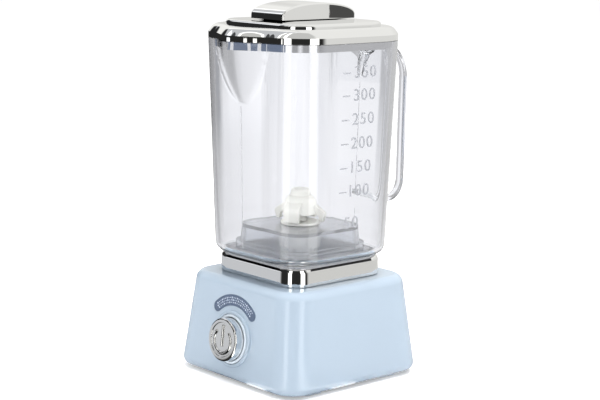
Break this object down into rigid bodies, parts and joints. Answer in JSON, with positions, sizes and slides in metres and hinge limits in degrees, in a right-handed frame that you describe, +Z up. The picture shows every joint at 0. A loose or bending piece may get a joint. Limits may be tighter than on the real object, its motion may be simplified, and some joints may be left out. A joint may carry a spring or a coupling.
{
  "type": "toy blender",
  "caption": "Toy blender with a pale blue battery base, chrome button and collar, clear jug with a handle and spout, ivory blade and chrome lid.",
  "frame": {"origin": "on the surface it stands on, under the middle of its overall box", "axes": "+Z up along the drive shaft, -Y out of the face with the button, +Y towards the jug's handle"},
  "size_m": [0.087, 0.1179, 0.1779],
  "materials": {
    "blue_plastic": "gloss",
    "chrome_plating": "mirror",
    "clear_plastic": "clear",
    "ivory_plastic": "satin",
    "slate_plastic": "satin",
    "white_plastic": "satin",
    "black_plastic": "matte",
    "board_laminate": "satin",
    "cell_sleeve": "gloss",
    "foot_rubber": "matte",
    "steel": "satin",
    "brass": "satin"
  },
  "bodies": {
    "base": {"base_housing": "blue_plastic", "base_plate": "blue_plastic", "base_plate_screw_1": "steel", "base_plate_screw_2": "steel", "base_plate_screw_3": "steel", "base_plate_screw_4": "steel", "foot_front_left": "foot_rubber", "foot_front_right": "foot_rubber", "foot_back_left": "foot_rubber", "foot_back_right": "foot_rubber", "jug_collar": "chrome_plating", "button_bezel": "white_plastic", "badge_plate": "slate_plastic", "push_switch": "black_plastic", "circuit_board": "board_laminate", "board_screw_1": "steel", "board_screw_2": "steel", "motor_can": "steel", "motor_end_cap": "white_plastic", "motor_tab_plus": "brass", "motor_tab_minus": "brass", "gear_deck": "white_plastic", "gear_deck_screw_1": "steel", "gear_deck_screw_2": "steel", "gear_deck_screw_3": "steel", "shaft_bush_lower": "brass", "shaft_bush_upper": "brass", "battery_box": "black_plastic", "battery_front": "cell_sleeve", "battery_rear": "cell_sleeve", "contact_bridge": "steel", "contact_plus": "steel", "contact_minus": "steel", "spring_minus": "steel", "spring_bridge": "steel"},
    "button": {"power_button": "chrome_plating", "switch_plunger": "white_plastic"},
    "door": {"battery_door": "blue_plastic", "battery_door_screw_1": "steel", "battery_door_screw_2": "steel"},
    "motor_rotor": {"motor_pinion": "brass", "motor_shaft": "steel"},
    "drive": {"drive_gear": "white_plastic", "output_shaft": "steel", "drive_coupling": "ivory_plastic"},
    "jug": {"jug_body": "clear_plastic", "shaft_seal": "ivory_plastic"},
    "blade": {"blade_rotor": "ivory_plastic", "blade_shaft": "steel", "jug_coupling": "ivory_plastic"},
    "lid": {"lid_cover": "chrome_plating", "lid_grip": "chrome_plating", "grip_screw_1": "steel", "grip_screw_2": "steel"}
  },
  "joints": [
    {"name": "button_press", "type": "slide", "parent": "base", "child": "button", "axis": [0, 0.9941, -0.1085], "range_m": [0, 0.002], "stiffness_N_per_m": 250},
    {"name": "battery_door_drop", "type": "slide", "parent": "base", "child": "door", "axis": [0, 0, -1], "range_m": [0, 0.02]},
    {"name": "drive_spin", "type": "hinge", "parent": "base", "child": "drive", "pos_m": [0, -0.0099, 0.04], "axis": [0, 0, 1], "continuous": true},
    {"name": "motor_spin", "type": "hinge", "parent": "base", "child": "motor_rotor", "pos_m": [-0.01273, -0.02262, 0.03], "axis": [0, 0, 1], "continuous": true},
    {"name": "jug_lift", "type": "slide", "parent": "base", "child": "jug", "axis": [0, 0, 1], "range_m": [0, 0.06]},
    {"name": "blade_spin", "type": "hinge", "parent": "jug", "child": "blade", "pos_m": [0, -0.0099, 0.075], "axis": [0, 0, 1], "continuous": true},
    {"name": "lid_lift", "type": "slide", "parent": "jug", "child": "lid", "axis": [0, 0, 1], "range_m": [0, 0.04]}
  ],
  "couplings": [
    {"joint": "motor_spin", "follows": "drive_spin", "ratio": -5},
    {"joint": "blade_spin", "follows": "drive_spin", "ratio": 1}
  ]
}
